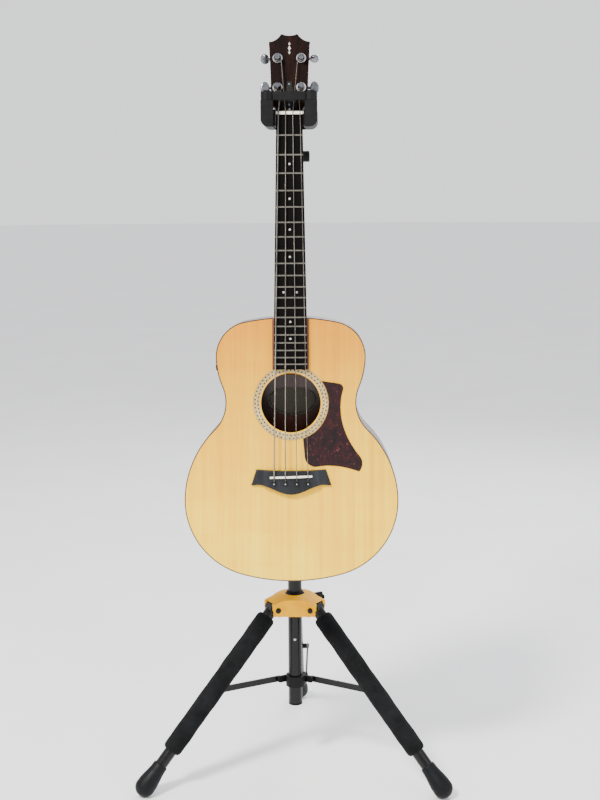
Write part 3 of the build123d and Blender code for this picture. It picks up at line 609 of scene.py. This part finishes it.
def build_rosette():
    """Concentric inlaid rings; two of them are chequered with dark blocks."""
    edges = [51.5, 53.4, 54.0, 55.8, 56.4, 58.6, 59.2, 60.9, 61.5, 62.5, 63.0]
    kinds = ["cream", "line", "chequer", "line", "cream", "line", "chequer", "line", "cream", "line"]
    segments, step_up = 324, 0.12 * MM
    profile = [(edge * MM, step_up) for edge in edges]
    profile = [(edges[0] * MM, -INLAY_DEPTH), *profile, (edges[-1] * MM, -INLAY_DEPTH)]
    vertices, faces = lathe(profile, segments, closed=True)
    indices = []
    all_kinds = ["cream", *kinds, "line", "cream"]      # the inner wall, the rings, the outer wall, the floor
    for band, kind in enumerate(all_kinds, start=-1):
        for step in range(segments):
            dark = kind == "line" or (kind == "chequer" and (step + 2 * band) % 6 < 2)
            indices.append(1 if dark else 0)
    place = guitar @ Matrix.Translation((0, SOUND_HOLE_Y, 0))
    made = piece("rosette_rings", vertices, faces, ["cream", "line"], "guitar", "rosette", place, flat=True)
    made.data.polygons.foreach_set("material_index", indices)
    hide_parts("rosette")


def build_bridge():
    """A carved bridge in millimetres: thin wings that rise to the centre, eased edges and a belly below."""
    half_top, half_tip, top_y, tip_y, belly = 58.5, 67.5, -586.6, -612.9, 16.0
    bow, belly_share, tip_share, tip_drop = 2.2, 0.79, 0.86, 0.8
    high, low, wing_share, rise_share = 8.6, 4.4, 0.78, 0.15
    sections, flat_end = 56, 0.55
    vertices = []
    for index in range(sections + 1):
        share = -1 + 2 * index / sections
        upper = Vector((half_top * share, top_y - bow * (1 - share**2), 0))
        swell = math.cos(min(1, abs(share) / belly_share) * math.pi / 2) ** 1.75
        droop = tip_drop * max(0, abs(share) - tip_share) / (1 - tip_share)
        lower = Vector((half_tip * share, tip_y - belly * swell - droop, 0))
        rise = min(1, max(0, (wing_share - abs(share)) / rise_share))
        height = low + (high - low) * rise * rise * (3 - 2 * rise)
        across = lower - upper
        inward = 1 / across.length
        ease = 1.0 if 0 < index < sections else flat_end
        ring = [(0, 0), (0, height - 1.3), (0.25, height - 0.55), (0.8, height - 0.12), (1.8, height)]
        ring += [(across.length - out, up) for out, up in reversed(ring)]
        vertices += [upper + across * (out * inward) + Vector((0, 0, up * ease)) for out, up in ring]
    count = len(ring)
    faces = ring_faces(sections, count)
    faces += [tuple(reversed(range(count))), tuple(sections * count + step for step in range(count))]
    vertices = [vertex * MM for vertex in vertices]
    made = piece("bridge_carved", vertices, faces, "ebony", "guitar", "ebony", guitar)
    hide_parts("bridge")


def build_pin_dots():
    """A pearl dot in the head of each bridge pin."""
    profile = [(1.0 * MM, -0.4 * MM), (1.0 * MM, 0.02 * MM), (0.8 * MM, 0.08 * MM), (0.4 * MM, 0.1 * MM)]
    for index in range(4):
        place = guitar @ Matrix.Translation(Vector((PIN_SPREAD * (index / 3 - 0.5), PIN_Y, PIN_TOP)))
        piece(f"pin_dot_{index + 1}", *lathe(profile, 24), "pearl", "guitar", None, place)


def build_position_dots():
    """Pearl position dots between the frets."""
    dots = {3: 1, 5: 1, 7: 1, 9: 1, 12: 2, 15: 1, 17: 1}      # a fret's number: the dots behind it
    pair_gap = 22 * MM
    profile = [(1.8 * MM, -0.6 * MM), (1.8 * MM, 0.02 * MM), (1.5 * MM, 0.09 * MM), (0.8 * MM, 0.13 * MM)]
    for number, count in dots.items():
        y = (fret_y(number) + fret_y(number - 1)) / 2
        for index in range(count):
            x = 0 if count == 1 else (index - 0.5) * pair_gap
            crown = BOARD_TOP - x**2 / (2 * BOARD_RADIUS)
            place = guitar @ Matrix.Translation((x, y, crown))
            piece(f"position_dot_{number}_{index + 1}", *lathe(profile, 28), "pearl", "guitar", None, place)


def build_label():
    """A plain oval paper label inside the back, with a printed border line and no text."""
    segments, thickness = 64, 0.14 * MM
    place = guitar @ Matrix.Translation((0, SOUND_HOLE_Y - 4 * MM, -LABEL_DEPTH))
    for name, width, height, lift, material in (
        ("label_oval", 44, 28, 0.0, "paper"),
        ("label_border", 41, 25.2, 0.12, "line"),
        ("label_field", 40, 24.3, 0.2, "paper"),
    ):
        vertices = [(width * MM * math.cos(a), height * MM * math.sin(a), lift * MM) for a in turns(segments)]
        vertices += [(x * 0.99, y * 0.99, z + thickness) for x, y, z in vertices]
        faces = [tuple(reversed(range(segments))), tuple(range(segments, 2 * segments))]
        faces += ring_faces(1, segments)
        piece(name, vertices, faces, material, "guitar", None, place)


def build_cover_screws():
    """The two screws of the truss rod's cover."""
    cover_top = 3.0 * MM
    for index, y in enumerate((16, 50)):
        place = head @ Vector((0, y * MM, cover_top))
        # these screws take the chrome with painted shade
        screw(f"cover_screw_{index + 1}", place, head_out, 2.0 * MM, "guitar", "dark_chrome", "steel")


def build_head_inlay():
    """Three plain diamonds in the head's face."""
    bottom, top = 1.3 * MM, 1.52 * MM
    for index, (y, size) in enumerate(((111, 4.6), (118.5, 3.0), (103.8, 3.0))):
        corners = [(size * 0.55, 0), (0, size), (-size * 0.55, 0), (0, -size)]
        vertices = [(x * MM, v * MM, level) for level in (bottom, top) for x, v in corners]
        faces = [(3, 2, 1, 0), (4, 5, 6, 7), *ring_faces(1, 4)]
        place = head @ Matrix.Translation((0, y * MM, 0))
        piece(f"head_inlay_{index + 1}", vertices, faces, "pearl", "guitar", None, place, flat=True)


def build_string_wrap(number, side, y):
    """Three turns of the string down its post, turning with it."""
    radius = (1.15 * MM, 0.9 * MM, 0.68 * MM, 0.55 * MM)[number - 1]
    coil = POST_RADIUS + radius
    start = 7.0 * MM + (number - 1) % 2 * MM
    steps = 26
    points = []
    for step in range(3 * steps + 1):
        angle = (math.pi if side > 0 else 0) - side * 2 * math.pi * step / steps
        x, v = side * POST_X + coil * math.cos(angle), y + coil * math.sin(angle)
        points.append(head @ Vector((x, v, start - 2.02 * radius * step / steps)))
    post = f"tuner_post_{number}"
    tube_along(f"string_wrap_{number}", points, radius, "string_steel", post, "string_steel")


def build_machine_screws(number, side, y):
    """Two screws that hold a tuner's housing to the back of the head."""
    for index, shift in enumerate((-7.5, 7.5)):
        place = head @ Vector((side * POST_X, y + shift * MM, -24.0 * MM))
        name = f"machine_screw_{number}_{index + 1}"
        screw(name, place, -head_out, 1.9 * MM, "guitar", "chrome", "chrome")


# ---------------------------------------------------------------- stand pieces
LEG_ANGLE = 42.0
LEG_RADIUS = 11.0 * MM
FOAM_START = 18.7 * MM
FOAM_END = 310 * MM
FOAM_RADIUS = 17.6 * MM
STRUT_PIN = 194 * MM


def leg_frame(leg):
    """A frame on a leg's axis at its pivot: z runs down the leg, x to its side."""
    pivot = Vector(joints[f"leg_{leg}_hinge"]["pos_m"])
    pad = Vector(mounts[f"foot_pad_{leg}"]["pos_m"])
    outwards = Vector((pad.x - mast_axis.x, pad.y - mast_axis.y, 0)).normalized()
    slope = math.radians(LEG_ANGLE)
    down = outwards * math.sin(slope) + Vector((0, 0, -math.cos(slope)))
    sideways = Vector((-outwards.y, outwards.x, 0))
    ahead = down.cross(sideways)
    return Matrix([[sideways[i], ahead[i], down[i], pivot[i]] for i in range(3)] + [[0, 0, 0, 1]])


def cut_hole(made, place, radius, depth):
    """Cuts a round hole along a place's z, for good."""
    mesh = bpy.data.meshes.new("cutter")
    shell = bmesh.new()
    bmesh.ops.create_cone(shell, cap_ends=True, segments=32, radius1=radius, radius2=radius, depth=depth)
    shell.to_mesh(mesh)
    shell.free()
    cutter = bpy.data.objects.new("cutter", mesh)
    bpy.context.scene.collection.objects.link(cutter)
    cutter.matrix_world = place
    cut = made.modifiers.new("hole", "BOOLEAN")
    cut.object, cut.operation = cutter, "DIFFERENCE"
    bpy.context.view_layer.update()
    shaped = bpy.data.meshes.new_from_object(made.evaluated_get(bpy.context.evaluated_depsgraph_get()))
    made.modifiers.clear()
    made.data = shaped
    bpy.data.objects.remove(cutter)


def build_foam(leg, side):
    """A foam sleeve with eased rims, faint swells along it and an opening at the strut's pin."""
    rings, segments = 70, 56
    hole, hole_depth, hole_reach = 5.6 * MM, 16 * MM, 17 * MM
    profile = [(LEG_RADIUS + 0.1 * MM, FOAM_START + 1.5 * MM), (LEG_RADIUS + 1.2 * MM, FOAM_START + 0.2 * MM)]
    for index in range(rings + 1):
        share = index / rings
        along = FOAM_START + (FOAM_END - FOAM_START) * share
        ease = min(1, min(share, 1 - share) * rings / 2.2)
        rim = (1 - math.sqrt(1 - (1 - ease) ** 2)) * 3.2 * MM
        swell = 0.25 * math.sin(share * 23) + 0.18 * math.sin(share * 51 + 1.3)
        profile.append((FOAM_RADIUS - rim - 0.4 * MM + swell * MM, along))
    profile += [(LEG_RADIUS + 1.2 * MM, FOAM_END - 0.2 * MM), (LEG_RADIUS + 0.1 * MM, FOAM_END - 1.5 * MM)]

    def lumps(height, angle):
        return 1 + 0.006 * math.sin(3 * angle + height * 60) + 0.004 * math.sin(7 * angle - height * 150)

    vertices, faces = lathe(profile, segments, lumps, closed=True)
    made = piece(f"foam_sleeve_{leg}", vertices, faces, "foam", f"leg_{leg}", "foam", leg_frame(leg))
    across = Matrix.Rotation(math.pi / 2, 4, "Y")
    place = leg_frame(leg) @ Matrix.Translation((side * hole_reach, 0, STRUT_PIN)) @ across
    cut_hole(made, place, hole, hole_depth)
    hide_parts(f"foam_grip_{leg}")


def build_foot(leg):
    """A rubber boot that swells smoothly from the leg's tube into its rounded end."""
    foot = Vector(mounts[f"foot_pad_{leg}"]["pos_m"]) - Vector(joints[f"leg_{leg}_hinge"]["pos_m"])
    end = foot.xy.length / math.sin(math.radians(LEG_ANGLE))
    ball = 17.9 * MM
    swell = ((12.3, 46), (13.0, 45.2), (13.3, 43), (13.6, 36), (14.6, 28), (16.4, 18), (17.6, 9))
    profile = [(LEG_RADIUS + 0.05 * MM, end - 45.5 * MM)]
    for radius, back in swell:
        profile.append((radius * MM, end - back * MM))
    for step in range(12):
        angle = math.radians(8 * step)
        profile.append((ball * math.cos(angle), end + ball * math.sin(angle)))
    made = piece(f"foot_boot_{leg}", *lathe(profile, 48), "rubber", f"leg_{leg}", "rubber", leg_frame(leg))
    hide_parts(f"foot_{leg}")


def build_hub_skirt():
    """A flared black skirt round the mast on top of the hub."""
    low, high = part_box("hub_collar")
    reach = (high.x - low.x) / 2
    bore = MAST_RADIUS + 0.3 * MM
    top = high.z - low.z
    profile = [(bore, 0), (reach + 1.4 * MM, 0), (reach + 1.2 * MM, top * 0.2), (reach - 0.6 * MM, top * 0.5)]
    profile += [(bore + 1.6 * MM, top * 0.86), (bore + 1.1 * MM, top), (bore, top)]
    vertices, faces = lathe(profile, 64, closed=True)
    place = Matrix.Translation((mast_axis.x, mast_axis.y, low.z))
    made = piece("hub_skirt", vertices, faces, "black_plastic", "hub", "black_plastic", place)
    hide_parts("hub_collar")


def build_hub_screws():
    """A recessed screw in each end of the legs' pins."""
    reach = 21.3
    for leg in ("left", "right", "rear"):
        place = leg_frame(leg)
        sideways = place.to_3x3() @ Vector((1, 0, 0))
        for side in (-1, 1):
            at = place.translation + sideways * side * reach * MM
            name = f"hub_screw_{leg}_{'ab'[side > 0]}"
            screw(name, at, sideways * side, 4.4 * MM, "hub", "dark_steel", "steel", lobes=6)


def build_stop_screw():
    """A small bright stop screw in the front of the mast."""
    at = mast_axis + Vector((0, -MAST_RADIUS + 0.1 * MM, 240 * MM))
    screw("mast_stop_screw", at, (0, -1, 0), 2.6 * MM, "mast_base", "chrome", "steel")


materials = make_materials()
dress_cad_nodes()
build_camera()
build_studio()
build_rosette()
build_bridge()
build_pin_dots()
build_position_dots()
build_label()
build_cover_screws()
build_head_inlay()
for tuner in tuners:
    build_string_wrap(*tuner)
    build_machine_screws(*tuner)
for leg_name, strut_side in (("left", -1), ("right", 1)):
    build_foam(leg_name, strut_side)
for leg_name in ("left", "right", "rear"):
    build_foot(leg_name)
build_hub_skirt()
build_hub_screws()
build_stop_screw()
soften_cad_edges()
